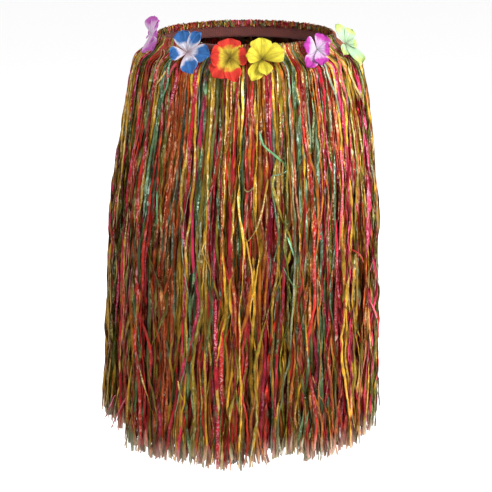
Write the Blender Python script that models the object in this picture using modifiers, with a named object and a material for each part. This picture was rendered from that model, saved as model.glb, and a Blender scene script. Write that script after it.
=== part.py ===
"""Hula skirt: strands of film on an elastic waistband, with six cloth flowers.

Lengths are in metres. +Z is up, -Y is the front and +X is the wearer's left. The origin is the middle of
the waist opening, at half the waistband's height. An angle of 0 is the front, and it grows towards +X.
"""

import math
import random
from bisect import bisect_right
from collections import namedtuple

import bmesh
import bpy
from mathutils import Matrix, Vector

# Waistband: half the width and depth of its outer face, its height and its wall
WAIST_HALF_WIDTH = 0.123
WAIST_HALF_DEPTH = 0.094
BAND_HEIGHT = 0.024
BAND_WALL = 0.002
SEAM_GAP = 0.0003

# Fringe: panels all round, the facets of each, and the strands in each of its two layers
PANELS = 12
FACETS_PER_PANEL = 6
STRANDS_PER_LAYER = 10
STRAND_THICKNESS = 0.0016
STRIP_THICKNESS = 0.005
STRIP_TOP = 0.008
STRIP_BOTTOM = -0.010
ROOT_SPREAD = 0.94
INNER_ROOT_SHIFT = 0.1

# Unevenness of the strands' ends and of their places
END_SHORTFALL = 0.018
END_SLANT = 0.005
SIDE_JITTER = 0.0004
FACE_JITTER = 0.0005
RANDOM_SEED = 4

# One row for each ring of a strand: drop below mid-band as a share of its length, half width and half
# depth of the outer layer, sideways shift, distance between the layers, how far the strands sway and
# fold, the share of its pitch that a strand fills, and how near it is to its hanging place
Section = namedtuple("Section", "drop half_width half_depth shift layers sway fold fill hang")
SECTIONS = [
    Section(0.000, 0.1270, 0.0980, 0.0000, 0.0024, 0.0000, 0.0000, 0.68, 0.0),
    Section(0.014, 0.1385, 0.1055, 0.0010, 0.0032, 0.0000, 0.0000, 0.68, 0.1),
    Section(0.040, 0.1560, 0.1160, 0.0025, 0.0048, 0.0003, 0.0008, 0.72, 0.5),
    Section(0.150, 0.1695, 0.1248, 0.0030, 0.0055, 0.0015, 0.0025, 0.77, 1.0),
    Section(0.480, 0.1918, 0.1403, -0.0015, 0.0055, 0.0035, 0.0045, 0.78, 1.0),
    Section(1.000, 0.2022, 0.1500, -0.0072, 0.0055, 0.0045, 0.0050, 0.74, 1.0),
]

# Longest strands round the hem: angle in degrees and drop below mid-band
HemPoint = namedtuple("HemPoint", "angle drop")
HEM = [
    HemPoint(-180, 0.575),
    HemPoint(-120, 0.572),
    HemPoint(-85, 0.560),
    HemPoint(-65, 0.562),
    HemPoint(-52, 0.579),
    HemPoint(-25, 0.580),
    HemPoint(-4, 0.591),
    HemPoint(10, 0.576),
    HemPoint(20, 0.564),
    HemPoint(33, 0.588),
    HemPoint(50, 0.579),
    HemPoint(68, 0.567),
    HemPoint(95, 0.562),
    HemPoint(140, 0.578),
    HemPoint(180, 0.575),
]

# Flowers: angle round the waist and height of the centre, distance out from the band, the way the
# flower faces and its upward tilt in degrees, and its colour
Flower = namedtuple("Flower", "name angle height out face tilt colour")
FLOWERS = [
    Flower("flower_pink", -84, 0.0105, 0.0100, -58, 28, (0.80, 0.36, 0.72)),
    Flower("flower_blue", -36, 0.0000, 0.0150, -22, 32, (0.17, 0.36, 0.72)),
    Flower("flower_red", -9.5, -0.0040, 0.0140, -7, 28, (0.86, 0.16, 0.09)),
    Flower("flower_yellow", 8.8, -0.0055, 0.0160, 7, 28, (0.90, 0.82, 0.15)),
    Flower("flower_magenta", 45.5, 0.0015, 0.0140, 24, 30, (0.78, 0.25, 0.76)),
    Flower("flower_mint", 75, 0.0010, 0.0192, 44, 36, (0.76, 0.93, 0.62)),
]

# Petals, clockwise from the top: direction in degrees, length, half breadth, and how far the tip stands
# out of the flower's face
Petal = namedtuple("Petal", "flower spin length breadth lift")
PETALS = [
    Petal("flower_pink", -95, 0.0120, 0.0080, 0.005),
    Petal("flower_pink", -17, 0.0270, 0.0180, 0.008),
    Petal("flower_pink", 43, 0.0210, 0.0090, 0.006),
    Petal("flower_pink", 100, 0.0220, 0.0080, 0.007),
    Petal("flower_pink", 147, 0.0330, 0.0180, 0.010),
    Petal("flower_blue", -110, 0.0235, 0.0120, 0.009),
    Petal("flower_blue", -24, 0.0325, 0.0135, 0.008),
    Petal("flower_blue", 29, 0.0330, 0.0100, 0.008),
    Petal("flower_blue", 95, 0.0370, 0.0145, 0.008),
    Petal("flower_blue", 152, 0.0360, 0.0135, 0.009),
    Petal("flower_red", -146, 0.0355, 0.0165, 0.009),
    Petal("flower_red", -90, 0.0255, 0.0175, 0.010),
    Petal("flower_red", -3, 0.0265, 0.0185, 0.008),
    Petal("flower_red", 83, 0.0260, 0.0150, 0.002),
    Petal("flower_red", 163, 0.0365, 0.0125, 0.008),
    Petal("flower_yellow", -153, 0.0340, 0.0110, 0.007),
    Petal("flower_yellow", -81, 0.0225, 0.0125, 0.014),
    Petal("flower_yellow", -2, 0.0290, 0.0170, 0.009),
    Petal("flower_yellow", 71, 0.0330, 0.0160, 0.008),
    Petal("flower_yellow", 169, 0.0250, 0.0110, 0.011),
    Petal("flower_magenta", -139, 0.0330, 0.0105, 0.005),
    Petal("flower_magenta", -80, 0.0220, 0.0100, 0.008),
    Petal("flower_magenta", 36, 0.0225, 0.0120, 0.009),
    Petal("flower_magenta", 104, 0.0165, 0.0100, 0.008),
    Petal("flower_magenta", 180, 0.0235, 0.0115, 0.006),
    Petal("flower_mint", -134, 0.0250, 0.0090, 0.008),
    Petal("flower_mint", -11, 0.0295, 0.0100, 0.008),
    Petal("flower_mint", 42, 0.0250, 0.0095, 0.008),
    Petal("flower_mint", 119, 0.0155, 0.0090, 0.008),
    Petal("flower_mint", 178, 0.0390, 0.0120, 0.010),
]
FLOWER_SEGMENTS = 36
FLOWER_RINGS = 3
PETAL_THICKNESS = 0.0012
PETAL_NOTCH = 0.5
PETAL_WAIST = 0.6
PETAL_ROUNDNESS = 0.5
THROAT_REACH = 0.014
INNER_RING = 0.4
STEM_RADIUS = 0.002
STEM_HEIGHT = 0.0045
STEM_SIDES = 8

# Colours of the band and of the strands, one for each panel in turn
BAND_COLOUR = (0.28, 0.07, 0.05)
STRAND_COLOURS = [
    (0.74, 0.10, 0.14),
    (0.80, 0.45, 0.08),
    (0.10, 0.42, 0.30),
    (0.82, 0.18, 0.42),
    (0.62, 0.60, 0.12),
]

STRAND_ROUGHNESS = 0.3
CLOTH_ROUGHNESS = 0.85

# Fine steps in the table of arc lengths, and the distance at which equal points are merged
ARC_STEPS = 720
MERGE_DISTANCE = 0.00001


def remove_default_objects():
    """Empty the scene."""
    for item in list(bpy.data.objects):
        bpy.data.objects.remove(item, do_unlink=True)


def new_collection(name):
    """Return a new collection of the scene."""
    collection = bpy.data.collections.new(name)
    bpy.context.scene.collection.children.link(collection)
    return collection


def new_material(name, colour, roughness):
    """Return a plain material of one colour."""
    material = bpy.data.materials.new(name)
    material.use_nodes = True
    shader = material.node_tree.nodes["Principled BSDF"]
    shader.inputs["Base Color"].default_value = (*colour, 1.0)
    shader.inputs["Roughness"].default_value = roughness
    shader.inputs["Metallic"].default_value = 0.0
    return material


def new_object(name, mesh_data, collection, material):
    """Close a bmesh into a named object."""
    mesh = bpy.data.meshes.new(name)
    mesh_data.normal_update()
    mesh_data.to_mesh(mesh)
    mesh_data.free()
    mesh.materials.append(material)
    item = bpy.data.objects.new(name, mesh)
    collection.objects.link(item)
    return item


def add_solidify(item, thickness, offset):
    """Give an open surface its thickness."""
    modifier = item.modifiers.new("thickness", "SOLIDIFY")
    modifier.thickness = thickness
    modifier.offset = offset


def add_union(item, other):
    """Fuse another solid into an object, and hide that solid."""
    modifier = item.modifiers.new("fused", "BOOLEAN")
    modifier.operation = "UNION"
    modifier.solver = "EXACT"
    modifier.object = other
    other.hide_render = True
    other.display_type = "WIRE"


def arc_table(half_width, half_depth):
    """Lengths along an ellipse at equal steps of its angle, as shares of the whole."""
    lengths = [0.0]
    for step in range(ARC_STEPS):
        angle = -math.pi + (step + 0.5) * 2 * math.pi / ARC_STEPS
        speed = math.hypot(half_width * math.cos(angle), half_depth * math.sin(angle))
        lengths.append(lengths[-1] + speed)
    return [length / lengths[-1] for length in lengths]


MIDDLE_SECTION = SECTIONS[len(SECTIONS) // 2]
ARC_SHARES = arc_table(MIDDLE_SECTION.half_width, MIDDLE_SECTION.half_depth)


def angle_of(share):
    """Angle of a place round the skirt, given as a share of its length from the back."""
    turns = math.floor(share)
    rest = share - turns
    step = min(bisect_right(ARC_SHARES, rest) - 1, ARC_STEPS - 1)
    part = (rest - ARC_SHARES[step]) / (ARC_SHARES[step + 1] - ARC_SHARES[step])
    return -math.pi + (step + part) * 2 * math.pi / ARC_STEPS + turns * 2 * math.pi


def outward(angle):
    """Level direction that points out of the waistband."""
    return Vector((math.sin(angle) / WAIST_HALF_WIDTH, -math.cos(angle) / WAIST_HALF_DEPTH, 0)).normalized()


def band_point(angle, out, height):
    """Point at a distance out from the band's outer face."""
    face = Vector((WAIST_HALF_WIDTH * math.sin(angle), -WAIST_HALF_DEPTH * math.cos(angle), height))
    return face + outward(angle) * out


def hem_drop(angle):
    """Drop of the longest strands at an angle between -pi and pi."""
    degrees = math.degrees(angle)
    for low, high in zip(HEM, HEM[1:]):
        if degrees <= high.angle:
            part = (degrees - low.angle) / (high.angle - low.angle)
            return low.drop + (high.drop - low.drop) * part * part * (3 - 2 * part)
    return HEM[-1].drop


def section_point(section, share, length):
    """Point of the outer layer in one section."""
    angle = angle_of(share)
    across = section.half_width * math.sin(angle) + section.shift
    return Vector((across, -section.half_depth * math.cos(angle), -section.drop * length))


def sway_wave(share, drop):
    """Sideways lean that neighbouring strands have in common, from -1 to 1."""
    slow = math.sin(2 * math.pi * (3 * share + 1.4 * drop))
    quick = math.sin(2 * math.pi * (8 * share - 0.9 * drop) + 1.3)
    return 0.6 * slow + 0.4 * quick


def fold_wave(share, drop):
    """Soft folds round the skirt, from -1 to 1."""
    wide = math.sin(2 * math.pi * (9 * share + 0.1 * drop) + 0.4)
    narrow = math.sin(2 * math.pi * (14 * share - 0.1 * drop) + 2.0)
    return 0.6 * wide + 0.4 * narrow


def add_strand(mesh_data, root_share, hang_share, inner, chance):
    """Add one strand as an open ribbon that runs down from the strip."""
    ring_count = len(SECTIONS)
    pitch = 1 / (PANELS * STRANDS_PER_LAYER)
    length = hem_drop(angle_of(hang_share % 1)) - END_SHORTFALL * chance.random() ** 2
    side_jitter = chance.uniform(-SIDE_JITTER, SIDE_JITTER)
    face_jitter = chance.uniform(-FACE_JITTER, FACE_JITTER)
    slant = chance.uniform(-END_SLANT, END_SLANT)
    perimeter = math.pi * (SECTIONS[-1].half_width + SECTIONS[-1].half_depth)
    shares = []
    path = []
    for section in SECTIONS:
        sway = section.sway * sway_wave(hang_share, section.drop) + side_jitter * section.hang
        share = root_share + (hang_share - root_share) * section.hang + sway / perimeter
        shares.append(share)
        path.append(section_point(section, share, length))
    made = bmesh.ops.create_grid(mesh_data, x_segments=1, y_segments=ring_count - 1, size=1.0)
    for vertex in made["verts"]:
        ring = round((1 - vertex.co.y) / 2 * (ring_count - 1))
        side = round(vertex.co.x)
        section = SECTIONS[ring]
        left = section_point(section, shares[ring] - pitch / 2, length)
        right = section_point(section, shares[ring] + pitch / 2, length)
        along = path[min(ring + 1, ring_count - 1)] - path[max(ring - 1, 0)]
        across = (right - left).normalized()
        face = along.cross(across).normalized()
        depth = section.fold * fold_wave(hang_share, section.drop) + face_jitter * section.hang
        if inner:
            depth -= section.layers
        place = path[ring] + face * depth + (right - left) * (section.fill * side / 2)
        if ring == ring_count - 1:
            place += along.normalized() * (slant * side)
        vertex.co = place


def add_strip(mesh_data, first_share, last_share):
    """Add the narrow strip of a panel, as an open surface on the band."""
    made = bmesh.ops.create_grid(mesh_data, x_segments=FACETS_PER_PANEL, y_segments=1, size=1.0)
    for vertex in made["verts"]:
        facet = (vertex.co.x + 1) / 2
        height = STRIP_TOP if vertex.co.y > 0 else STRIP_BOTTOM
        angle = angle_of(first_share + (last_share - first_share) * facet)
        vertex.co = band_point(angle, SEAM_GAP, height)


def build_panel(index, collection, fused_shapes, chance):
    """Build one panel: its strip, and two layers of strands that hang from it."""
    colour = STRAND_COLOURS[index % len(STRAND_COLOURS)]
    name = f"fringe_{index + 1:02d}"
    material = new_material(name, colour, STRAND_ROUGHNESS)
    first_share = (index - 0.5) / PANELS + 0.5
    panel_share = 1 / PANELS
    pitch = panel_share / STRANDS_PER_LAYER
    seam_share = SEAM_GAP / (math.pi * (WAIST_HALF_WIDTH + WAIST_HALF_DEPTH))

    strip_mesh = bmesh.new()
    add_strip(strip_mesh, first_share + seam_share, first_share + panel_share - seam_share)
    strip = new_object(name, strip_mesh, collection, material)
    add_solidify(strip, STRIP_THICKNESS, 1.0)

    strand_mesh = bmesh.new()
    middle = first_share + panel_share / 2
    for number in range(STRANDS_PER_LAYER):
        outer_share = first_share + (number + 0.5) * pitch
        inner_share = first_share + (number + 1) * pitch
        outer_root = middle + (outer_share - middle) * ROOT_SPREAD
        inner_root = outer_root + INNER_ROOT_SHIFT * pitch
        add_strand(strand_mesh, outer_root, outer_share, False, chance)
        add_strand(strand_mesh, inner_root, inner_share, True, chance)
    strands = new_object(name + "_strands", strand_mesh, fused_shapes, material)
    add_solidify(strands, STRAND_THICKNESS, 0.0)
    add_union(strip, strands)


def build_waistband(collection):
    """Build the elastic band, a closed ring."""
    facets = PANELS * FACETS_PER_PANEL
    mesh_data = bmesh.new()
    made = bmesh.ops.create_grid(mesh_data, x_segments=facets, y_segments=1, size=1.0)
    for vertex in made["verts"]:
        turn = (vertex.co.x + 1) / 2
        height = vertex.co.y * BAND_HEIGHT / 2
        vertex.co = band_point(angle_of(turn + 0.5 - 0.5 / PANELS), 0, height)
    bmesh.ops.remove_doubles(mesh_data, verts=mesh_data.verts, dist=MERGE_DISTANCE)
    material = new_material("waistband", BAND_COLOUR, CLOTH_ROUGHNESS)
    band = new_object("waistband", mesh_data, collection, material)
    add_solidify(band, BAND_WALL, -1.0)


def petal_share(petal, turn):
    """How near a direction is to a petal's middle: 1 on it, and 0 from its edges on."""
    away = (turn - math.radians(petal.spin) + math.pi) % (2 * math.pi) - math.pi
    half_angle = math.atan2(petal.breadth, PETAL_WAIST * petal.length)
    return max(1 - (away / half_angle) ** 2, 0) ** PETAL_ROUNDNESS


def flower_edge(petals, turn):
    """Reach and lift of the flower's edge in a direction round its face."""
    nearest = max(petals, key=lambda petal: petal_share(petal, turn))
    share = petal_share(nearest, turn)
    return nearest.length * (PETAL_NOTCH + (1 - PETAL_NOTCH) * share), nearest.lift


def flower_frame(flower):
    """Axes of a flower: across, up along its face, and out of its face."""
    face = math.radians(flower.face)
    tilt = math.radians(flower.tilt)
    level = Vector((math.sin(face), -math.cos(face), 0))
    out = level * math.cos(tilt) + Vector((0, 0, math.sin(tilt)))
    across = Vector((-level.y, level.x, 0))
    return across, out.cross(across), out


def build_flower(flower, collection, fused_shapes):
    """Build one cloth flower of five petals, with the shank of thread that holds it to the band."""
    material = new_material(flower.name, flower.colour, CLOTH_ROUGHNESS)
    petal_rows = [petal for petal in PETALS if petal.flower == flower.name]
    across, up, out = flower_frame(flower)
    angle = math.radians(flower.angle)
    centre = band_point(angle, flower.out, flower.height)
    mesh_data = bmesh.new()
    made = bmesh.ops.create_grid(mesh_data, x_segments=FLOWER_SEGMENTS, y_segments=FLOWER_RINGS, size=1.0)
    for vertex in made["verts"]:
        turn = (vertex.co.x + 1) * math.pi
        ring = (vertex.co.y + 1) / 2
        edge, lift = flower_edge(petal_rows, turn)
        reach = ring * (edge if ring > INNER_RING else THROAT_REACH)
        height = lift * (1 - (1 - ring) ** 2)
        vertex.co = centre + across * (math.sin(turn) * reach) + up * (math.cos(turn) * reach) + out * height
    bmesh.ops.remove_doubles(mesh_data, verts=mesh_data.verts, dist=MERGE_DISTANCE)
    bmesh.ops.recalc_face_normals(mesh_data, faces=mesh_data.faces)
    petals = new_object(flower.name, mesh_data, collection, material)
    add_solidify(petals, PETAL_THICKNESS, 0.0)

    strip_face = SEAM_GAP + STRIP_THICKNESS
    slope = math.atan2(STEM_HEIGHT - flower.height, flower.out - strip_face)
    start_out = strip_face + SEAM_GAP + STEM_RADIUS * abs(math.sin(slope))
    start = band_point(angle, start_out, STEM_HEIGHT)
    stem_line = centre + out * (PETAL_THICKNESS / 2) - start
    stem_mesh = bmesh.new()
    turned = stem_line.to_track_quat("Z", "Y").to_matrix().to_4x4()
    bmesh.ops.create_cone(
        stem_mesh,
        cap_ends=True,
        segments=STEM_SIDES,
        radius1=STEM_RADIUS,
        radius2=STEM_RADIUS,
        depth=stem_line.length,
        matrix=Matrix.Translation(start + stem_line / 2) @ turned,
    )
    stem = new_object(flower.name + "_shank", stem_mesh, fused_shapes, material)
    add_union(petals, stem)


def build_skirt():
    """Build every part of the skirt."""
    remove_default_objects()
    collection = new_collection("grass_skirt")
    fused_shapes = new_collection("fused_shapes")
    chance = random.Random(RANDOM_SEED)
    build_waistband(collection)
    for index in range(PANELS):
        build_panel(index, collection, fused_shapes, chance)
    for flower in FLOWERS:
        build_flower(flower, collection, fused_shapes)


build_skirt()
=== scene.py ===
import math
from collections import namedtuple

import bpy
import numpy as np
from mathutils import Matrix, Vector


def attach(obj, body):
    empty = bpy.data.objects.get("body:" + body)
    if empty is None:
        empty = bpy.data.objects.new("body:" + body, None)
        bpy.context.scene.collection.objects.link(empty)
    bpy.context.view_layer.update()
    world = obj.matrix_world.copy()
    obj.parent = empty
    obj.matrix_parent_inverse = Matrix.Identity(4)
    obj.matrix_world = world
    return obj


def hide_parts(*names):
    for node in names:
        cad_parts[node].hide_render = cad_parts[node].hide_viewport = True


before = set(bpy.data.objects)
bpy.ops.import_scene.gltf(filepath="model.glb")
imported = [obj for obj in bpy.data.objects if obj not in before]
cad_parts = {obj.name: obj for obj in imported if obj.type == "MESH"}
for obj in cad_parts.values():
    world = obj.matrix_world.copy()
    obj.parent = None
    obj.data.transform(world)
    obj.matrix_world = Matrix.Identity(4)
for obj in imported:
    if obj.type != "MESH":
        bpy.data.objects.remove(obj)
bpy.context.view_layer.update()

# Waistband: outer half width and half depth, height and wall
WAIST_HALF_WIDTH = 0.123
WAIST_HALF_DEPTH = 0.094
BAND_HEIGHT = 0.024
BAND_WALL = 0.002
PANELS = 12

# The fringe's form: drop as a share of its length, half width, half depth, sideways shift, sway, fold
Section = namedtuple("Section", "drop half_width half_depth shift sway fold")
SECTIONS = [
    Section(0.000, 0.1270, 0.0980, 0.0000, 0.0000, 0.0000),
    Section(0.014, 0.1385, 0.1055, 0.0010, 0.0000, 0.0000),
    Section(0.040, 0.1560, 0.1160, 0.0025, 0.0003, 0.0008),
    Section(0.150, 0.1695, 0.1248, 0.0030, 0.0015, 0.0025),
    Section(0.480, 0.1918, 0.1403, -0.0015, 0.0035, 0.0045),
    Section(1.000, 0.2022, 0.1500, -0.0072, 0.0045, 0.0050),
]

# Waves round the skirt, in its strands' sideways sway and in its folds: weight, waves in a full turn,
# slant in waves from waist to hem, and phase in radians
Wave = namedtuple("Wave", "weight turns slant phase")
SWAY_WAVES = [Wave(0.6, 3, 1.4, 0.0), Wave(0.4, 8, -0.9, 1.3)]
FOLD_WAVES = [Wave(0.6, 9, 0.1, 0.4), Wave(0.4, 14, -0.1, 2.0)]

# Longest strands round the hem: angle in degrees and drop below mid-band
HemPoint = namedtuple("HemPoint", "angle drop")
HEM = [
    HemPoint(-180, 0.575),
    HemPoint(-120, 0.572),
    HemPoint(-85, 0.560),
    HemPoint(-65, 0.562),
    HemPoint(-52, 0.582),
    HemPoint(-25, 0.588),
    HemPoint(-4, 0.596),
    HemPoint(10, 0.580),
    HemPoint(20, 0.568),
    HemPoint(33, 0.592),
    HemPoint(50, 0.584),
    HemPoint(68, 0.567),
    HemPoint(95, 0.562),
    HemPoint(140, 0.578),
    HemPoint(180, 0.575),
]

# Layers of strands: how many, how far in front of or behind the form, their widths, their wander at the
# hem, the length of one step along them, how much light is painted into their colour (painted shade makes the
# inner layers darker), and the share that is folded along the middle and the share that is tinsel
Layer = namedtuple("Layer", "count depth_low depth_high width_low width_high wander step light folded tinsel")
LAYERS = [
    Layer(230, -0.0095, -0.0075, 0.0090, 0.0120, 0.0015, 0.012, 0.80, 0.0, 0.0),
    Layer(330, -0.0070, -0.0035, 0.0034, 0.0060, 0.006, 0.006, 0.74, 0.0, 0.1),
    Layer(350, -0.0035, -0.0003, 0.0028, 0.0054, 0.010, 0.004, 0.86, 0.8, 0.25),
    Layer(290, 0.0000, 0.0030, 0.0024, 0.0050, 0.015, 0.0035, 1.0, 0.75, 0.3),
]
RANDOM_SEED = 15

# Even spacing round the skirt: the largest shift of a strand, as a share of the step between two
CORE_JITTER = 0.15
JITTER = 0.45

# Clumps of strands round the skirt: how many, how far they pull a strand in, and how their ends differ
CLUMPS = 90
CLUMP_PULL = 0.45
CLUMP_SHORTFALL = 0.007
CLUMP_RHYTHM = 12.9898
CLUMP_START = 78.233

# Strands end above the hem by up to these lengths. Those that lie further in than the core's depth hang
# straighter
END_SHORTFALL = 0.018
CORE_SHORTFALL = 0.010
CORE_DEPTH = -0.0072

# Shares of strands that hang loose, that are twisted and that drift to a second colour
LOOSE_SHARE = 0.12
LOOSE_WANDER = 2.2
TWISTED_FILM_SHARE = 0.18
TWISTED_TINSEL_SHARE = 0.48
DRIFT_SHARE = 0.2

# Turn of a strip about its own line: angle in radians, radians in a metre and uneven turn in radians
Twist = namedtuple("Twist", "angle rate wobble")
TWIST_RATES = (20, 70)
WOBBLES = (0.2, 0.9)
WOBBLE_SPACING = 0.045
TILT_SPACING = 0.009
FILM_TILT = 0.25
TINSEL_TILT = 0.55

# Unevenness of a strand's line: how large, the spacing of its random values, and where it sets in and is
# full. A curve's size is a share of its layer's wander
Waver = namedtuple("Waver", "size spacing start full")
LEAN = 0.6
CURVE = Waver(0.8, 0.15, 0.02, 0.6)
KINKS = Waver(0.0017, 0.05, 0.0, 0.1)
WEAVING = Waver(0.0026, 0.07, 0.02, 0.15)
CORE_WEAVING = Waver(0.0008, 0.07, 0.02, 0.15)
STRIP_WAVER = Waver(0.0007, 0.013, 0.02, 0.08)

# Strips: width of tinsel and of a head as shares of the full width, crinkles, ends and folds
TINSEL_WIDTH = 0.8
HEAD_WIDTH = 0.55
HEAD_SHARE = 0.08
CRINKLE_SIZE = 0.0004
CRINKLE_SPACING = 0.006
END_START = 0.93
END_WIDTHS = (-0.6, 0.4)
END_CUT = 0.9
FOLD_DEPTH = 0.16
FOLD_CHANGE = 0.10
FOLD_SPACING = 0.05
STRAY_STEP = 0.003

# Colour along a strand: spacing of its drift to a second film, how far its painted shade varies and the
# spacing of that over long and short stretches, its light, the painted light at its head, how much painted
# shade darkens its end, what its end loses in red, green and blue, and how far its painted glints fade
DRIFT_SPACING = 0.2
LONG_SHADE = 0.34
LONG_SPACING = 0.05
SHORT_SHADE = 0.38
SHORT_SPACING = 0.009
STRAND_LIGHTS = (0.60, 1.03)
# Painted light near a strand's head, and painted shade that darkens it towards its end
HEAD_LIGHT = 1.08
END_DARKENING = 0.41
END_LOSSES = (0.0, 0.14, 0.52)
GLINT_SPACING = 0.04
GLINT_FADE = 0.70
CORE_GLINT = 0.1
FILM_GLINT = 0.9
STRAY_GLINT = 0.8

# Heads of the strands: distance out of the band, height over its top edge and reach down inside it
HEAD_OUT = 0.0022
HEAD_TOPS = (0.0004, 0.0022)
HEAD_REACHES = (0.005, 0.010)
BARE_STARTS = (0.000, 0.004)

# Zigzag thread inside the band: stitches in a panel, their lower and upper heights, and their colour
STITCHES_PER_PANEL = 14
STITCH_LOW = 0.0015
STITCH_HIGH = 0.0065
STITCH_COLOUR = (120, 40, 36)

# Strands start below the band's top edge between these angles, where the band itself shows
BARE_BAND = (-29, -15)

# Film colours, as they look on a screen, the pale colour of the highlights painted on their creases, and how
# common each is
Film = namedtuple("Film", "name colour glint share")
FILMS = [
    Film("crimson", (168, 22, 44), (255, 192, 212), 8),
    Film("red", (172, 38, 26), (255, 194, 194), 8),
    Film("rust", (158, 66, 24), (252, 208, 160), 6),
    Film("ochre", (170, 98, 28), (255, 226, 180), 6),
    Film("gold", (186, 144, 42), (255, 244, 196), 9),
    Film("olive", (130, 114, 28), (240, 238, 186), 6),
    Film("leaf", (112, 118, 36), (226, 240, 186), 2),
    Film("moss", (84, 88, 36), (206, 234, 190), 2),
    Film("teal", (80, 106, 74), (214, 246, 226), 2),
    Film("silver", (120, 130, 106), (252, 255, 250), 3),
    Film("magenta", (180, 40, 84), (255, 194, 216), 2),
]
# Films of the inner core, darker than the outer films: their darkness is painted shade in the gaps between
# strands
CORE_FILMS = [
    Film("maroon", (98, 24, 20), (160, 70, 60), 4),
    Film("brown", (98, 60, 24), (170, 120, 70), 4),
    Film("dark_green", (60, 62, 30), (120, 140, 90), 1),
    Film("dark_red", (122, 24, 22), (180, 90, 80), 2),
    Film("dark_ochre", (126, 80, 28), (200, 150, 90), 2),
]
BRIGHT_FILMS = [
    Film("mint", (104, 164, 122), (216, 250, 228), 1),
    Film("cream", (186, 166, 108), (255, 250, 226), 1),
    Film("peach", (222, 146, 104), (255, 222, 196), 1),
    Film("pink", (216, 76, 96), (255, 186, 200), 1),
    Film("white", (150, 168, 146), (246, 252, 244), 1),
]
SAME_FILM_SHARE = 0.22

# Strands that stray from the rest: film, width, distance out, and places along them, each with the angle
# round the skirt in degrees and the drop
Stray = namedtuple("Stray", "film width out places")
STRAYS = [
    Stray("mint", 0.0028, 0.0050, [(5, 0.1), (6.8, 0.117), (12.5, 0.134), (18.7, 0.152)]),
    Stray("teal", 0.0020, 0.0050, [(18.7, 0.152), (14.7, 0.159), (10.8, 0.161), (10.4, 0.172), (12.6, 0.219),
                                   (13.9, 0.25), (11.9, 0.281)]),
    Stray("mint", 0.0026, 0.0050, [(17.7, 0.248), (19.4, 0.266), (22.5, 0.292), (25.5, 0.319)]),
    Stray("teal", 0.0020, 0.0060, [(15.9, 0.29), (18, 0.305), (21.4, 0.32), (25.4, 0.316)]),
    Stray("gold", 0.0026, 0.0050, [(9.1, 0.166), (7.9, 0.187), (6.3, 0.214), (3.9, 0.237), (0.7, 0.252),
                                   (-0.5, 0.244), (0.6, 0.23)]),
    Stray("gold", 0.0022, 0.0040, [(0.3, 0.249), (1.7, 0.275), (3, 0.3), (3.5, 0.335)]),
    Stray("olive", 0.0016, 0.0050, [(-1.4, 0.177), (0.3, 0.182), (2.8, 0.178)]),
    Stray("gold", 0.0020, 0.0050, [(-16.6, 0.251), (-17.7, 0.265), (-16.3, 0.278), (-14.5, 0.29),
                                   (-13.8, 0.321)]),
    Stray("red", 0.0020, 0.0060, [(50.4, 0.279), (54.5, 0.287), (60, 0.303)]),
    Stray("pink", 0.0026, 0.0060, [(65.3, 0.363), (75.1, 0.409), (78.1, 0.451), (76.6, 0.483),
                                   (73.3, 0.511)]),
    Stray("gold", 0.0026, 0.0050, [(63.9, 0.407), (66.4, 0.44), (67.9, 0.469), (67.1, 0.499)]),
    Stray("crimson", 0.0032, 0.0060, [(-64.9, 0.508), (-68.1, 0.526), (-73.5, 0.546), (-84, 0.566)]),
    Stray("pink", 0.0028, 0.0060, [(-55.3, 0.503), (-59, 0.525), (-63.4, 0.545), (-68.7, 0.563)]),
    Stray("gold", 0.0030, 0.0050, [(-49.3, 0.429), (-46, 0.457), (-41.1, 0.496), (-36.6, 0.541)]),
    Stray("gold", 0.0024, 0.0050, [(-27.1, 0.46), (-25.2, 0.481), (-22.5, 0.493), (-23.7, 0.505),
                                   (-25.9, 0.502)]),
    Stray("crimson", 0.0055, 0.0030, [(-11.8, 0.336), (-10.9, 0.423), (-9.7, 0.512), (-9.3, 0.588)]),
    Stray("red", 0.0050, 0.0030, [(-8.8, 0.364), (-8.7, 0.453), (-7.6, 0.527), (-6.9, 0.584)]),
    Stray("mint", 0.0042, 0.0040, [(-46.7, 0.007), (-43, 0.024), (-42, 0.042), (-44.3, 0.062),
                                   (-45.7, 0.09)]),
    Stray("cream", 0.0040, 0.0040, [(-62.5, 0.002), (-56.9, 0.007), (-53, 0.021), (-51.5, 0.034)]),
    Stray("peach", 0.0034, 0.0040, [(-60.7, 0.002), (-55.3, 0.004), (-51.2, 0.018), (-49.1, 0.039)]),
    Stray("gold", 0.0030, 0.0060, [(-44.8, 0.026), (-46.6, 0.036), (-49, 0.046), (-48.8, 0.058),
                                   (-47.4, 0.079)]),
    Stray("pink", 0.0032, 0.0050, [(-39.8, 0.013), (-40.4, 0.02), (-41.4, 0.031), (-43, 0.042)]),
    Stray("crimson", 0.0036, 0.0040, [(-38.4, 0.017), (-36.7, 0.035), (-38.2, 0.063), (-39.8, 0.105)]),
    Stray("white", 0.0030, 0.0040, [(44.3, 0.014), (42.6, 0.026), (43.6, 0.042), (45.9, 0.06),
                                    (47.6, 0.088)]),
    Stray("pink", 0.0030, 0.0040, [(62.9, 0.004), (54.1, 0.019), (50.9, 0.039), (53.6, 0.068), (53.9, 0.11)]),
    Stray("cream", 0.0034, 0.0040, [(63.2, 0.017), (59.7, 0.032), (62.1, 0.052), (68.3, 0.08), (66.2, 0.13)]),
    Stray("gold", 0.0030, 0.0040, [(80.9, 0.004), (64, 0.02), (60.7, 0.043), (65.5, 0.073)]),
    Stray("mint", 0.0030, 0.0040, [(24.4, 0.103), (23.2, 0.127), (22, 0.157)]),
    Stray("pink", 0.0040, 0.0040, [(46.4, 0.135), (46.1, 0.177), (44.1, 0.226), (43, 0.275)]),
    Stray("crimson", 0.0040, 0.0040, [(41.1, 0.231), (41.2, 0.289), (40.4, 0.346), (41.6, 0.406)]),
    Stray("mint", 0.0026, 0.0040, [(-41.8, 0.189), (-40.7, 0.208), (-40.4, 0.238)]),
    Stray("magenta", 0.0034, 0.0040, [(-27.8, 0.233), (-25.4, 0.265), (-23.1, 0.303)]),
]
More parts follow.
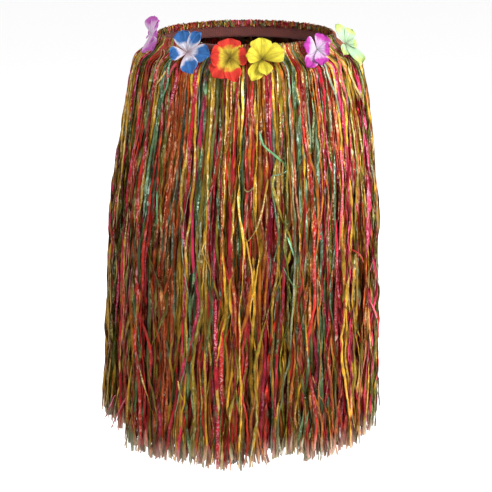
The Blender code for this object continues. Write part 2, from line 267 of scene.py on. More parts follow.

# Flowers: angle round the waist, height and distance out of the centre, the way the flower faces and its
# upward tilt in degrees, how far the rim's colour reaches in, how much less at a petal's sides, and the
# colours of throat, middle and rim. The darker throats of the red and yellow flowers are partly painted shade
Flower = namedtuple("Flower", "name angle height out face tilt rim_start sides throat middle rim")
FLOWERS = [
    Flower("pink", -84, 0.0105, 0.0090, -58, 28, 0.52, 0.16,
           (230, 212, 230), (222, 176, 220), (196, 100, 188)),
    Flower("blue", -36, 0.0000, 0.0150, -22, 32, 0.36, 0.34,
           (204, 178, 190), (210, 208, 224), (50, 104, 168)),
    Flower("red", -9.5, -0.0040, 0.0140, -7, 28, 0.47, 0.00,
           (136, 112, 18), (206, 178, 52), (206, 50, 36)),
    Flower("yellow", 8.8, -0.0055, 0.0160, 7, 28, 0.50, 0.00,
           (146, 130, 22), (198, 180, 44), (210, 194, 56)),
    Flower("magenta", 45.5, 0.0015, 0.0140, 24, 30, 0.50, 0.14,
           (206, 192, 212), (206, 166, 206), (172, 52, 152)),
    Flower("mint", 75, 0.0010, 0.0192, 44, 36, 0.58, 0.10,
           (178, 202, 160), (168, 204, 166), (188, 208, 120)),
]

# Petals, clockwise from the top: direction in degrees, length, half breadth, and how far the tip stands
# out of the flower's face
Petal = namedtuple("Petal", "flower spin length breadth lift")
PETALS = [
    Petal("pink", -100, 0.0100, 0.0080, 0.002),
    Petal("pink", -15, 0.0265, 0.0180, 0.007),
    Petal("pink", 24, 0.0240, 0.0150, 0.006),
    Petal("pink", 95, 0.0180, 0.0130, 0.003),
    Petal("pink", 141, 0.0310, 0.0200, 0.002),
    Petal("blue", -110, 0.0235, 0.0120, 0.009),
    Petal("blue", -24, 0.0325, 0.0135, 0.008),
    Petal("blue", 29, 0.0330, 0.0100, 0.008),
    Petal("blue", 95, 0.0370, 0.0145, 0.008),
    Petal("blue", 152, 0.0360, 0.0135, 0.009),
    Petal("red", -146, 0.0355, 0.0165, 0.009),
    Petal("red", -90, 0.0255, 0.0175, 0.010),
    Petal("red", -3, 0.0265, 0.0185, 0.008),
    Petal("red", 83, 0.0260, 0.0150, 0.002),
    Petal("red", 163, 0.0365, 0.0125, 0.008),
    Petal("yellow", -153, 0.0340, 0.0110, 0.007),
    Petal("yellow", -81, 0.0225, 0.0125, 0.014),
    Petal("yellow", -2, 0.0290, 0.0170, 0.009),
    Petal("yellow", 71, 0.0330, 0.0160, 0.008),
    Petal("yellow", 169, 0.0250, 0.0110, 0.011),
    Petal("magenta", -139, 0.0330, 0.0105, 0.005),
    Petal("magenta", -70, 0.0220, 0.0150, 0.008),
    Petal("magenta", 32, 0.0225, 0.0140, 0.009),
    Petal("magenta", 100, 0.0165, 0.0120, 0.008),
    Petal("magenta", 180, 0.0235, 0.0115, 0.006),
    Petal("mint", -134, 0.0250, 0.0090, 0.008),
    Petal("mint", -11, 0.0295, 0.0100, 0.008),
    Petal("mint", 42, 0.0250, 0.0095, 0.008),
    Petal("mint", 119, 0.0155, 0.0090, 0.008),
    Petal("mint", 178, 0.0390, 0.0120, 0.010),
]

# A petal's grid, outline and relief. The relief is its tip's curl, cup, ruffle, crease and veins
PETAL_ROWS = 25
PETAL_POINTS = 21
PETAL_START = 0.02
PETAL_SIDE_FALL = 0.10
PETAL_OPENING = 0.80
PETAL_STEEPEST = 0.62
PETAL_ROUND_START = 0.60
PETAL_ROUND_REACH = 0.42
PETAL_SQUARENESS = 4
PETAL_TIP_CURL = 0.003
PETAL_CUP = 0.0030
PETAL_RUFFLE = 0.052
PETAL_RUFFLE_WAVES = 6.5
PETAL_CREASE = 0.0016
PETAL_CREASE_WIDTH = 0.20
PETAL_VEIN = 0.00035
PETAL_VEIN_WAVES = 24
PETAL_OVERLAP = 0.0004
PETAL_BACK = 0.0006
PETAL_CLOTH = 0.0004
# Painted shade towards a flower's throat: how far up a petal it reaches and how dark it gets, and the range
# of each petal's brightness
THROAT_REACH = 0.35
THROAT_SHADE = 0.30
PETAL_LIGHTS = (0.80, 0.92)

# Elastic: points round it, levels up it, depth of its ribs and of its rounded edges, and its colours
BAND_FACETS = 720
BAND_LEVELS = 9
BAND_RIB = 0.00025
BAND_ROUNDING = 0.0003
BAND_CLEARANCE = 0.0004
BAND_WALL_SHARE = 0.85
BAND_DARK = (70, 20, 16)
BAND_LIGHT = (150, 62, 44)

# Pale tips of the strands, as linear values: painted light, as if light showed through the thin film at their
# ends
TIP_COLOUR = (0.62, 0.54, 0.42, 1)

# Lamps: place, size and power. They face a point near the skirt's middle
Lamp = namedtuple("Lamp", "name place size power")
LAMPS = [
    Lamp("key", (2.3, -1.8, 1.7), 0.9, 96),
    Lamp("side", (2.4, -1.0, 0.1), 0.9, 54),
    Lamp("fill", (-2.2, -1.6, 0.9), 1.6, 5),
    Lamp("back", (0.4, 2.4, 1.6), 1.6, 40),
]
LAMP_TARGET = (0, 0, -0.25)
FLOOR_SIZE = 60
FLOOR_HEIGHT = -1.0
FLOOR_COLOUR = (0.93, 0.93, 0.93, 1)
SKY_COLOUR = (1, 1, 1, 1)

# Camera: its place, the point it looks at, and its lens and sensor in millimetres
CAMERA_PLACE = (0, -2.625, 0.504)
CAMERA_TARGET = (0, 0, -0.3017)
CAMERA_LENS = 138.4
CAMERA_SENSOR = 36
CAMERA_REACH = 100

ARC_STEPS = 720


def linear(colour):
    """Turn a screen colour from 0 to 255 into the linear values that a shader takes."""
    values = np.asarray(colour, float) / 255
    return np.where(values <= 0.04045, values / 12.92, ((values + 0.055) / 1.055) ** 2.4)


def smoothstep(low, high, values):
    """Ease from 0 at low to 1 at high."""
    part = np.clip((np.asarray(values, float) - low) / (high - low), 0, 1)
    return part * part * (3 - 2 * part)


def rounded(places, rows, at):
    """Read a smooth curve through a table's rows, which never swings past them."""
    places = np.asarray(places, float)
    rows = np.asarray(rows, float)
    steps = np.diff(rows) / np.diff(places)
    before, after = steps[:-1], steps[1:]
    turning = before * after <= 0
    gentle = 2 * before * after / np.where(turning, 1, before + after)
    slopes = np.concatenate([steps[:1], np.where(turning, 0, gentle), steps[-1:]])
    index = np.clip(np.searchsorted(places, at, side="right") - 1, 0, len(places) - 2)
    width = places[index + 1] - places[index]
    part = (at - places[index]) / width
    square, cube = part ** 2, part ** 3
    return (
        rows[index] * (2 * cube - 3 * square + 1)
        + slopes[index] * width * (cube - 2 * square + part)
        + rows[index + 1] * (3 * square - 2 * cube)
        + slopes[index + 1] * width * (cube - square)
    )


# Places along a strand where its path is worked out, closer together near the band
DROPS = np.concatenate([np.linspace(0, 0.1, 16), np.linspace(0.1, 1, 31)[1:]])
SECTION_DROPS = [section.drop for section in SECTIONS]
HALF_WIDTHS = rounded(SECTION_DROPS, [section.half_width for section in SECTIONS], DROPS)
HALF_DEPTHS = rounded(SECTION_DROPS, [section.half_depth for section in SECTIONS], DROPS)
SHIFTS = np.interp(DROPS, SECTION_DROPS, [section.shift for section in SECTIONS])
SWAYS = np.interp(DROPS, SECTION_DROPS, [section.sway for section in SECTIONS])
FOLDS = np.interp(DROPS, SECTION_DROPS, [section.fold for section in SECTIONS])
PERIMETER = math.pi * (SECTIONS[-1].half_width + SECTIONS[-1].half_depth)


def arc_table():
    """Angles from -pi to pi, and the share of the way round the form's middle section at each."""
    middle = SECTIONS[len(SECTIONS) // 2]
    steps = -math.pi + (np.arange(ARC_STEPS) + 0.5) * 2 * math.pi / ARC_STEPS
    speeds = np.hypot(middle.half_width * np.cos(steps), middle.half_depth * np.sin(steps))
    lengths = np.concatenate([[0], np.cumsum(speeds)])
    return np.linspace(-math.pi, math.pi, ARC_STEPS + 1), lengths / lengths[-1]


ARC_ANGLES, ARC_SHARES = arc_table()


def angle_of(share):
    """Angle of places round the skirt, given as shares of its length from the back."""
    turns = np.floor(share)
    return np.interp(share - turns, ARC_SHARES, ARC_ANGLES) + turns * 2 * math.pi


def share_of(angle):
    """Share of the way round the skirt, from the back, of an angle between -pi and pi."""
    return float(np.interp(angle, ARC_ANGLES, ARC_SHARES))


def hem_drop(share):
    """Drop of the longest strands at a place round the skirt."""
    angle = (float(angle_of(share)) + math.pi) % (2 * math.pi) - math.pi
    angles = np.radians([point.angle for point in HEM])
    return float(rounded(angles, [point.drop for point in HEM], angle))


def outward(angle):
    """Level directions that point out of the waistband."""
    across = np.stack([np.sin(angle) / WAIST_HALF_WIDTH, -np.cos(angle) / WAIST_HALF_DEPTH, 0 * angle], -1)
    return across / np.linalg.norm(across, axis=-1, keepdims=True)


def band_points(angle, out, height):
    """Points at distances out from the band's outer face."""
    angle, out, height = np.broadcast_arrays(np.asarray(angle, float), out, height)
    face = np.stack([WAIST_HALF_WIDTH * np.sin(angle), -WAIST_HALF_DEPTH * np.cos(angle), height], -1)
    return face + outward(angle) * out[..., None]


def summed(waves, share, drop):
    """Sum of waves round the skirt, from -1 to 1."""
    total = 0 * drop
    for wave in waves:
        cycles = wave.turns * share + wave.slant * drop
        total = total + wave.weight * np.sin(2 * math.pi * cycles + wave.phase)
    return total


def unit(vectors):
    """Scale rows of vectors to length 1."""
    return vectors / np.maximum(np.linalg.norm(vectors, axis=-1, keepdims=True), 1e-9)


def soft_noise(chance, places, spacing):
    """Smooth random values from -1 to 1 along a strand."""
    knots = np.arange(places[0] - spacing, places[-1] + 2 * spacing, spacing)
    return np.interp(places, knots, chance.uniform(-1, 1, len(knots)))


def unevenness(chance, places, waver):
    """Smooth random shifts along a strand, which set in gradually below its head."""
    shifts = soft_noise(chance, places, waver.spacing)
    return waver.size * shifts * smoothstep(waver.start, waver.full, places)


def panel_of(share):
    """Number of the panel at a place round the skirt."""
    return int((share % 1) * PANELS + 0.5 + PANELS / 2) % PANELS


def form_points(angles, drops, length):
    """Points on the skirt's form, with the outward direction at each."""
    half_widths = np.interp(drops, DROPS, HALF_WIDTHS)
    half_depths = np.interp(drops, DROPS, HALF_DEPTHS)
    shifts = np.interp(drops, DROPS, SHIFTS)
    points = np.stack([
        half_widths * np.sin(angles) + shifts,
        -half_depths * np.cos(angles),
        -drops * length,
    ], -1)
    around = unit(np.stack([half_widths * np.cos(angles), half_depths * np.sin(angles), 0 * angles], -1))
    down = unit(np.gradient(points, axis=0))
    return points, unit(np.cross(down, around))


def strand_line(chance, share, depth, length, wander):
    """Points of a strand's middle line, from the band out over the shoulder and down."""
    clump = (math.floor(share * CLUMPS) + 0.5) / CLUMPS
    in_core = depth <= CORE_DEPTH
    pull = (0 if in_core else CLUMP_PULL) * smoothstep(0.3, 1.0, DROPS) * (clump - share)
    lean = chance.normal(0, LEAN) * wander * DROPS
    curve = wander * unevenness(chance, DROPS, CURVE)
    kinks = unevenness(chance, DROPS, KINKS)
    sway = SWAYS * summed(SWAY_WAVES, share, DROPS)
    angles = angle_of(share + pull + (lean + curve + kinks + sway) / PERIMETER)
    points, faces = form_points(angles, DROPS, length)
    depths = depth * (0.25 + 0.75 * smoothstep(0.0, 0.05, DROPS))
    depths = depths + FOLDS * summed(FOLD_WAVES, share, DROPS)
    depths = depths + unevenness(chance, DROPS, CORE_WEAVING if in_core else WEAVING)
    return points + faces * depths[:, None], angles


def head_line(chance, angle, depth):
    """Points of a strand's head, which is folded over the band's top edge or starts just below it."""
    out = HEAD_OUT + 0.25 * depth + chance.uniform(0, 0.0008)
    if math.radians(BARE_BAND[0]) < angle < math.radians(BARE_BAND[1]):
        start = chance.uniform(*BARE_STARTS)
        places = [(0.0002, start), (out, start - 0.001), (out + 0.0012, start - 0.004)]
    else:
        top = BAND_HEIGHT / 2 + chance.uniform(*HEAD_TOPS)
        inside = -BAND_WALL - 0.0006 - chance.uniform(0, 0.0006)
        hem = top - chance.uniform(*HEAD_REACHES)
        places = [(inside, hem), (inside, top - 0.002), ((inside + out) / 2, top), (out, top - 0.003)]
        places.append((out + 0.0012, 0.004))
    return np.array([band_points(angle, place, height) for place, height in places])


def stray_line(stray):
    """Points and angles of a strand that strays from the rest."""
    angles = np.radians([place[0] for place in stray.places])
    drops = np.array([place[1] for place in stray.places])
    steps = np.arange(len(angles))
    fine = np.linspace(0, len(angles) - 1, 12 * len(angles))
    turned = rounded(steps, angles, fine)
    length = hem_drop(share_of(angles.mean()))
    points, faces = form_points(turned, rounded(steps, drops, fine) / length, length)
    level = outward(turned)
    lifts = stray.out * np.sin(math.pi * np.clip(fine / fine[-1] * 1.15, 0, 1)) ** 0.5
    return points + level * (HEAD_OUT + lifts * 0.6)[:, None], turned


def resampled(points, angles, step):
    """Evenly spaced points and angles along a line."""
    lengths = np.concatenate([[0], np.cumsum(np.linalg.norm(np.diff(points, axis=0), axis=1))])
    count = max(int(lengths[-1] / step), 8)
    at = np.linspace(0, lengths[-1], count)
    line = np.stack([np.interp(at, lengths, points[:, axis]) for axis in range(3)], -1)
    return line, np.interp(at, lengths, angles), at


def strip_widths(chance, at, width, tinsel):
    """Widths along a strip: narrow at its head, uneven below, and flared or pinched at its end."""
    share = at / at[-1]
    widths = width * (HEAD_WIDTH + (1 - HEAD_WIDTH) * smoothstep(0.0, HEAD_SHARE, share))
    widths = widths * (1 + 0.15 * soft_noise(chance, at, 0.03) + 0.20 * soft_noise(chance, at, 0.011))
    if not tinsel:
        widths = widths * (1 + chance.uniform(*END_WIDTHS) * smoothstep(END_START, 1.0, share))
    return widths


def ribbon(chance, line, angles, at, width, twist, folded, tinsel):
    """Grid of points for a strip of film along a line."""
    along = unit(np.gradient(line, axis=0))
    level = outward(angles)
    out = unit(level - (level * along).sum(1, keepdims=True) * along)
    side = np.cross(along, out)
    turn = twist.angle + twist.rate * at + twist.wobble * soft_noise(chance, at, WOBBLE_SPACING)
    turn = turn * smoothstep(0.01, 0.06, at)
    turn = turn + (TINSEL_TILT if tinsel else FILM_TILT) * soft_noise(chance, at, TILT_SPACING)
    across = np.cos(turn)[:, None] * side + np.sin(turn)[:, None] * out
    face = -np.sin(turn)[:, None] * side + np.cos(turn)[:, None] * out
    crinkle = CRINKLE_SIZE * soft_noise(chance, at, CRINKLE_SPACING)
    waver = unevenness(chance, at, STRIP_WAVER)
    middle = line + face * crinkle[:, None] + side * waver[:, None]
    half = across * (strip_widths(chance, at, width, tinsel) / 2)[:, None]
    if folded:
        fold = width * (FOLD_DEPTH + FOLD_CHANGE * soft_noise(chance, at, FOLD_SPACING))
    else:
        fold = 0 * at
    left = middle - half - face * fold[:, None]
    right = middle + half - face * fold[:, None]
    cut = chance.uniform(-1, 1) * width * END_CUT
    left[-1] -= along[-1] * cut
    right[-1] += along[-1] * cut
    rows = [left, middle, right] if folded else [left, right]
    return np.stack(rows, 1)


def pick_film(chance, films):
    """Choose a film by how common it is."""
    shares = np.array([film.share for film in films])
    return films[chance.choice(len(films), p=shares / shares.sum())]


def mixed_films(chance, films, count):
    """Films for the strands of a layer, mixed evenly all the way round, with some pairs alike."""
    deck = [film for film in films for _ in range(film.share)]
    picked = []
    while len(picked) < count:
        picked.extend(deck[number] for number in chance.permutation(len(deck)))
    for place in range(1, count):
        if chance.random() < SAME_FILM_SHARE:
            picked[place] = picked[place - 1]
    return picked[:count]


def strand_tints(chance, film, other, at, light):
    """Colours along a strand, which may drift to a second colour, with painted shade that varies along it and
    painted light near its head that turns to painted shade towards its end.
    """
    first, second = linear(film.colour), linear(other.colour)
    drift = smoothstep(0.1, 0.9, soft_noise(chance, at, DRIFT_SPACING))[:, None]
    long_shade = LONG_SHADE * soft_noise(chance, at, LONG_SPACING)
    shade = np.exp(long_shade + SHORT_SHADE * soft_noise(chance, at, SHORT_SPACING))
    share = at / at[-1]
    # Painted light and shade: the layer's light and a random light of the strand's own, lighter near the head
    # and darker towards the end
    own = light * chance.uniform(*STRAND_LIGHTS) * (HEAD_LIGHT - END_DARKENING * smoothstep(0.0, 0.6, share))
    warmth = 1 - share[:, None] * np.array(END_LOSSES)
    return np.clip((first * (1 - drift) + second * drift) * (shade * own)[:, None] * warmth, 0, 1)


def strand_glints(chance, film, at, light, strength):
    """Colour of the painted highlights on a strand's creases, and how strong they are along the strand."""
    patches = smoothstep(-0.5, 0.5, soft_noise(chance, at, GLINT_SPACING))
    fade = 1 - GLINT_FADE * smoothstep(0.08, 0.80, at / at[-1])
    colours = np.tile(linear(film.glint) * light, (len(at), 1))
    return np.concatenate([colours, (strength * patches * fade)[:, None]], 1)


class StrandMesh:
    """Collects strips of film or cloth for one piece."""

    def __init__(self):
        self.points, self.faces, self.slots, self.labels = [], [], [], {}
        self.count = 0

    def add(self, grid, shades, own_mark, slot):
        """Add one strip: a grid of points, values for each row, and a random mark of its own."""
        rows, across = grid.shape[:2]
        index = self.count + np.arange(rows * across).reshape(rows, across)
        quads = np.stack([index[:-1, :-1], index[:-1, 1:], index[1:, 1:], index[1:, :-1]], -1).reshape(-1, 4)
        self.points.append(grid.reshape(-1, 3))
        self.faces.append(quads)
        share = np.repeat(np.linspace(0, 1, rows), across)
        edge = np.tile(np.linspace(0, 1, across), rows)
        mark = np.stack([share, np.full(len(share), own_mark), edge, np.ones(len(share))], -1)
        self.labels.setdefault("mark", []).append(mark)
        for label, values in shades.items():
            if values.shape[1] == 3:
                values = np.concatenate([values, np.ones((rows, 1))], 1)
            self.labels.setdefault(label, []).append(np.repeat(values, across, axis=0))
        self.slots.append(np.full(len(quads), slot))
        self.count += rows * across

    def build(self, name, materials):
        """Make the object."""
        points = np.concatenate(self.points).astype(np.float32)
        faces = np.concatenate(self.faces).astype(np.int32)
        mesh = bpy.data.meshes.new(name)
        mesh.vertices.add(len(points))
        mesh.vertices.foreach_set("co", points.ravel())
        mesh.loops.add(faces.size)
        mesh.loops.foreach_set("vertex_index", faces.ravel())
        mesh.polygons.add(len(faces))
        mesh.polygons.foreach_set("loop_start", np.arange(0, faces.size, 4, dtype=np.int32))
        mesh.polygons.foreach_set("material_index", np.concatenate(self.slots).astype(np.int32))
        mesh.polygons.foreach_set("use_smooth", np.ones(len(faces), bool))
        for material in materials:
            mesh.materials.append(material)
        mesh.update(calc_edges=True)
        for label, rows in self.labels.items():
            attribute = mesh.attributes.new(label, "FLOAT_COLOR", "POINT")
            attribute.data.foreach_set("color", np.concatenate(rows).astype(np.float32).ravel())
        item = bpy.data.objects.new(name, mesh)
        bpy.context.collection.objects.link(item)
        return item


def new_material(name):
    """Return a new material with its node tree and its shader."""
    material = bpy.data.materials.new(name)
    material.use_nodes = True
    tree = material.node_tree
    return material, tree, tree.nodes["Principled BSDF"]


def add_node(tree, kind, **settings):
    """Add a node. A setting that names an input is set there, and any other on the node."""
    node = tree.nodes.new(kind)
    for key, value in settings.items():
        label = key.replace("_", " ").title() if key not in node.inputs else key
        if label in node.inputs:
            node.inputs[label].default_value = value
        else:
            setattr(node, key, value)
    return node


def calculate(tree, operation, *values):
    """Add a math node and return its output. Each value is a number or another node's output."""
    node = add_node(tree, "ShaderNodeMath", operation=operation)
    for place, value in enumerate(values):
        if isinstance(value, (int, float)):
            node.inputs[place].default_value = value
        else:
            tree.links.new(value, node.inputs[place])
    return node.outputs["Value"]


def mapped(tree, value, low, high, to_low=0.0, to_high=1.0):
    """Map a value's range to another range, and return the output."""
    node = add_node(tree, "ShaderNodeMapRange")
    node.inputs["From Min"].default_value = low
    node.inputs["From Max"].default_value = high
    node.inputs["To Min"].default_value = to_low
    node.inputs["To Max"].default_value = to_high
    tree.links.new(value, node.inputs["Value"])
    return node.outputs["Result"]


def noise_on_strip(tree, parts, spread, along, across, detail):
    """Noise in a strip's own coordinates, which differs from strip to strip."""
    place = add_node(tree, "ShaderNodeCombineXYZ")
    tree.links.new(calculate(tree, "MULTIPLY", parts.outputs["Green"], spread), place.inputs["X"])
    tree.links.new(calculate(tree, "MULTIPLY", parts.outputs["Red"], along), place.inputs["Y"])
    tree.links.new(calculate(tree, "MULTIPLY", parts.outputs["Blue"], across), place.inputs["Z"])
    noise = add_node(tree, "ShaderNodeTexNoise", Scale=1.0, Detail=detail, Roughness=0.6)
    tree.links.new(place.outputs["Vector"], noise.inputs["Vector"])
    return noise.outputs["Fac"]


def strip_marks(tree):
    """The marks along, of and across a strip, as the three parts of a colour."""
    mark = add_node(tree, "ShaderNodeAttribute", attribute_name="mark")
    parts = add_node(tree, "ShaderNodeSeparateColor")
    tree.links.new(mark.outputs["Color"], parts.inputs["Color"])
    return parts


def scaled_colour(tree, colour, scale):
    """Multiply a colour by a value, and return the output."""
    node = add_node(tree, "ShaderNodeVectorMath", operation="SCALE")
    tree.links.new(colour, node.inputs[0])
    tree.links.new(scale, node.inputs["Scale"])
    return node.outputs["Vector"]


def mixed_colour(tree, share, first, second):
    """Mix two colours, and return the output. The second may be constant."""
    node = add_node(tree, "ShaderNodeMix", data_type="RGBA")
    tree.links.new(share, node.inputs["Factor"])
    tree.links.new(first, node.inputs["A"])
    if isinstance(second, tuple):
        node.inputs["B"].default_value = second
    else:
        tree.links.new(second, node.inputs["B"])
    return node.outputs["Result"]


def film_material(name, tinsel):
    """Crinkled film that takes its colour from the strand, with painted highlights on its creases and painted
    light and shade.
    """
    material, tree, shader = new_material(name)
    link = tree.links.new
    tint = add_node(tree, "ShaderNodeAttribute", attribute_name="tint")
    glint = add_node(tree, "ShaderNodeAttribute", attribute_name="glint")
    parts = strip_marks(tree)
    # Painted shade: the strip is darker towards its edges, which looks rounded
    off_middle = calculate(tree, "SUBTRACT", parts.outputs["Blue"], 0.5)
    square = calculate(tree, "MULTIPLY", off_middle, off_middle)
    rounding = calculate(tree, "MULTIPLY_ADD", square, -1.5, 1.06)
    # Streaks of painted light and shade along the strip, which also set its roughness
    streaks = noise_on_strip(tree, parts, spread=31.0, along=95.0, across=1.6, detail=3.0)
    shades = calculate(tree, "MULTIPLY", mapped(tree, streaks, 0.3, 0.7, 0.66, 1.34), rounding)
    film = scaled_colour(tree, tint.outputs["Color"], shades)
    # Painted highlights: beads and lines mixed towards the glint colour, fewer at the strip's edges
    bead_scale = 190.0 if tinsel else 95.0
    beads = noise_on_strip(tree, parts, spread=83.0, along=bead_scale, across=1.2, detail=2.0)
    beads = mapped(tree, beads, 0.53, 0.62)
    lines = noise_on_strip(tree, parts, spread=57.0, along=44.0, across=2.4, detail=2.0)
    lines = mapped(tree, lines, 0.56, 0.66)
    sparks = calculate(tree, "MAXIMUM", beads, lines)
    sparks = calculate(tree, "MULTIPLY", sparks, glint.outputs["Alpha"])
    sparks = calculate(tree, "MULTIPLY", sparks, mapped(tree, square, 0.0, 0.25, 1.0, 0.25))
    bright = mixed_colour(tree, sparks, film, glint.outputs["Color"])
    # Painted light: the tips turn pale, as if light showed through the thin film
    tip = mapped(tree, parts.outputs["Red"], 0.955, 1.0, 0.0, 0.36)
    coloured = mixed_colour(tree, tip, bright, TIP_COLOUR)
    link(coloured, shader.inputs["Base Color"])
    shader.inputs["Metallic"].default_value = 0.45 if tinsel else 0.15
    shader.inputs["Specular IOR Level"].default_value = 0.15
    link(mapped(tree, streaks, 0.3, 0.7, 0.28, 0.50), shader.inputs["Roughness"])
    creases = noise_on_strip(tree, parts, spread=19.0, along=240.0, across=1.5, detail=2.0)
    bump = add_node(tree, "ShaderNodeBump", Strength=0.8 if tinsel else 0.6, Distance=0.0014)
    link(creases, bump.inputs["Height"])
    link(bump.outputs["Normal"], shader.inputs["Normal"])
    return material


def glint_strength(chance, number, tinsel):
    """How strong the painted highlights are on a strand's creases. The two outer layers get the most of them.
    """
    if number < 2:
        return CORE_GLINT
    return (0.34 + 0.46 * chance.random()) * (1.0 if tinsel else FILM_GLINT)


def strand_twist(chance, tinsel):
    """How a strand turns about its own line."""
    twisted = chance.random() < (TWISTED_TINSEL_SHARE if tinsel else TWISTED_FILM_SHARE)
    rate = chance.choice([-1, 1]) * chance.uniform(*TWIST_RATES) if twisted else 0
    return Twist(chance.normal(0, 0.4), rate, chance.uniform(*WOBBLES))


def strand_length(chance, number, share):
    """Length of a strand, which ends somewhat above the hem."""
    clump = math.floor(share * CLUMPS) % CLUMPS
    clump_part = 0.5 + 0.5 * math.sin(clump * CLUMP_RHYTHM + CLUMP_START)
    shortfall = END_SHORTFALL * chance.random() ** 2 + CLUMP_SHORTFALL * clump_part
    return hem_drop(share) - shortfall - (CORE_SHORTFALL if number == 0 else 0)


def add_strand(chance, meshes, number, layer, share, film):
    """Add one strand of a layer to the mesh of its panel."""
    films = CORE_FILMS if number == 0 else FILMS
    other = pick_film(chance, films) if chance.random() < DRIFT_SHARE else film
    tinsel = chance.random() < layer.tinsel
    folded = not tinsel and chance.random() < layer.folded
    depth = chance.uniform(layer.depth_low, layer.depth_high)
    width = chance.uniform(layer.width_low, layer.width_high) * (TINSEL_WIDTH if tinsel else 1.0)
    wander = layer.wander * (LOOSE_WANDER if chance.random() < LOOSE_SHARE else 1.0)
    length = strand_length(chance, number, share)
    body, angles = strand_line(chance, share, depth, length, wander)
    head = head_line(chance, angles[0], depth)
    points = np.concatenate([head, body[2:]])
    turns = np.concatenate([np.full(len(head), angles[0]), angles[2:]])
    line, turned, at = resampled(points, turns, layer.step)
    twist = strand_twist(chance, tinsel)
    grid = ribbon(chance, line, turned, at, width, twist, folded or (tinsel and number > 1), tinsel)
    strength = glint_strength(chance, number, tinsel)
    shades = {
        "tint": strand_tints(chance, film, other, at, layer.light),
        "glint": strand_glints(chance, film, at, layer.light, strength),
    }
    meshes[panel_of(share)].add(grid, shades, chance.random(), int(tinsel))


def add_stray(chance, meshes, stray):
    """Add one stray strand to the mesh of the panel that it starts on."""
    films = {film.name: film for film in FILMS + BRIGHT_FILMS}
    film = films[stray.film]
    points, angles = stray_line(stray)
    line, turned, at = resampled(points, angles, STRAY_STEP)
    twist = Twist(chance.normal(0, 0.3), 0, 0.6)
    grid = ribbon(chance, line, turned, at, stray.width, twist, True, False)
    shades = {
        "tint": strand_tints(chance, film, film, at, 1.0),
        "glint": strand_glints(chance, film, at, 1.0, STRAY_GLINT),
    }
    meshes[panel_of(share_of(turned[0]))].add(grid, shades, chance.random(), 0)


def add_stitches(chance, mesh, panel):
    """Add the zigzag thread that holds the strands' heads to the inside of the band."""
    steps = np.arange(2 * STITCHES_PER_PANEL + 1)
    shares = (panel - 0.5 + steps / steps[-1]) / PANELS + 0.5
    heights = np.where(steps % 2, STITCH_HIGH, STITCH_LOW)
    angles = angle_of(shares)
    line = band_points(angles, -BAND_WALL - 0.0017, heights)
    ends = np.array([[0, 0, 0.0003], [0, 0, -0.0003]])
    grid = line[:, None, :] + ends[None, :, :]
    shades = {
        "tint": np.tile(linear(STITCH_COLOUR), (len(line), 1)),
        "glint": np.tile([0.5, 0.3, 0.2, 0.0], (len(line), 1)),
    }
    mesh.add(grid, shades, chance.random(), 0)


def build_strands(materials):
    """Build every strand of film, in one piece for each panel of the fringe."""
    chance = np.random.default_rng(RANDOM_SEED)
    meshes = [StrandMesh() for _ in range(PANELS)]
    for number, layer in enumerate(LAYERS):
        films = mixed_films(chance, CORE_FILMS if number == 0 else FILMS, layer.count)
        for place, film in enumerate(films):
            jitter = CORE_JITTER if number == 0 else JITTER
            share = (place + chance.uniform(-jitter, jitter)) / layer.count
            add_strand(chance, meshes, number, layer, share, film)
    for stray in STRAYS:
        add_stray(chance, meshes, stray)
    pieces = []
    for number, strands in enumerate(meshes):
        add_stitches(chance, strands, number)
        piece = strands.build(f"strands_{number + 1:02d}", materials)
        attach(piece, "root")
        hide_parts(f"fringe_{number + 1:02d}")
        pieces.append(piece)
    return pieces


def band_material():
    """Dark ribbed elastic."""
    material, tree, shader = new_material("elastic_band")
    link = tree.links.new
    place = add_node(tree, "ShaderNodeTexCoord")
    weave = add_node(tree, "ShaderNodeTexWave", Scale=260.0, Distortion=2.0, Detail=2.0)
    weave.bands_direction = "DIAGONAL"
    link(place.outputs["Object"], weave.inputs["Vector"])
    spots = add_node(tree, "ShaderNodeTexNoise", Scale=90.0, Detail=4.0)
    link(place.outputs["Object"], spots.inputs["Vector"])
    shades = add_node(tree, "ShaderNodeValToRGB")
    shades.color_ramp.elements[0].color = (*linear(BAND_DARK), 1)
    shades.color_ramp.elements[1].color = (*linear(BAND_LIGHT), 1)
    link(calculate(tree, "MULTIPLY", weave.outputs["Fac"], spots.outputs["Fac"]), shades.inputs["Fac"])
    link(shades.outputs["Color"], shader.inputs["Base Color"])
    shader.inputs["Roughness"].default_value = 0.7
    shader.inputs["Sheen Weight"].default_value = 0.3
    bump = add_node(tree, "ShaderNodeBump", Strength=0.6, Distance=0.0006)
    link(weave.outputs["Fac"], bump.inputs["Height"])
    link(bump.outputs["Normal"], shader.inputs["Normal"])
    return material


def grid_object(name, grid, closed, material):
    """Make a smooth mesh from a grid of points, which may close on itself along its rows."""
    rows, across = grid.shape[:2]
    index = np.arange(rows * across).reshape(rows, across)
    if closed:
        index = np.concatenate([index, index[:, :1]], 1)
    quads = np.stack([index[:-1, :-1], index[1:, :-1], index[1:, 1:], index[:-1, 1:]], -1).reshape(-1, 4)
    mesh = bpy.data.meshes.new(name)
    points = [tuple(point) for point in grid.reshape(-1, 3)]
    faces = [tuple(quad) for quad in quads.tolist()]
    mesh.from_pydata(points, [], faces)
    mesh.materials.append(material)
    mesh.polygons.foreach_set("use_smooth", [True] * len(mesh.polygons))
    item = bpy.data.objects.new(name, mesh)
    bpy.context.collection.objects.link(item)
    return item


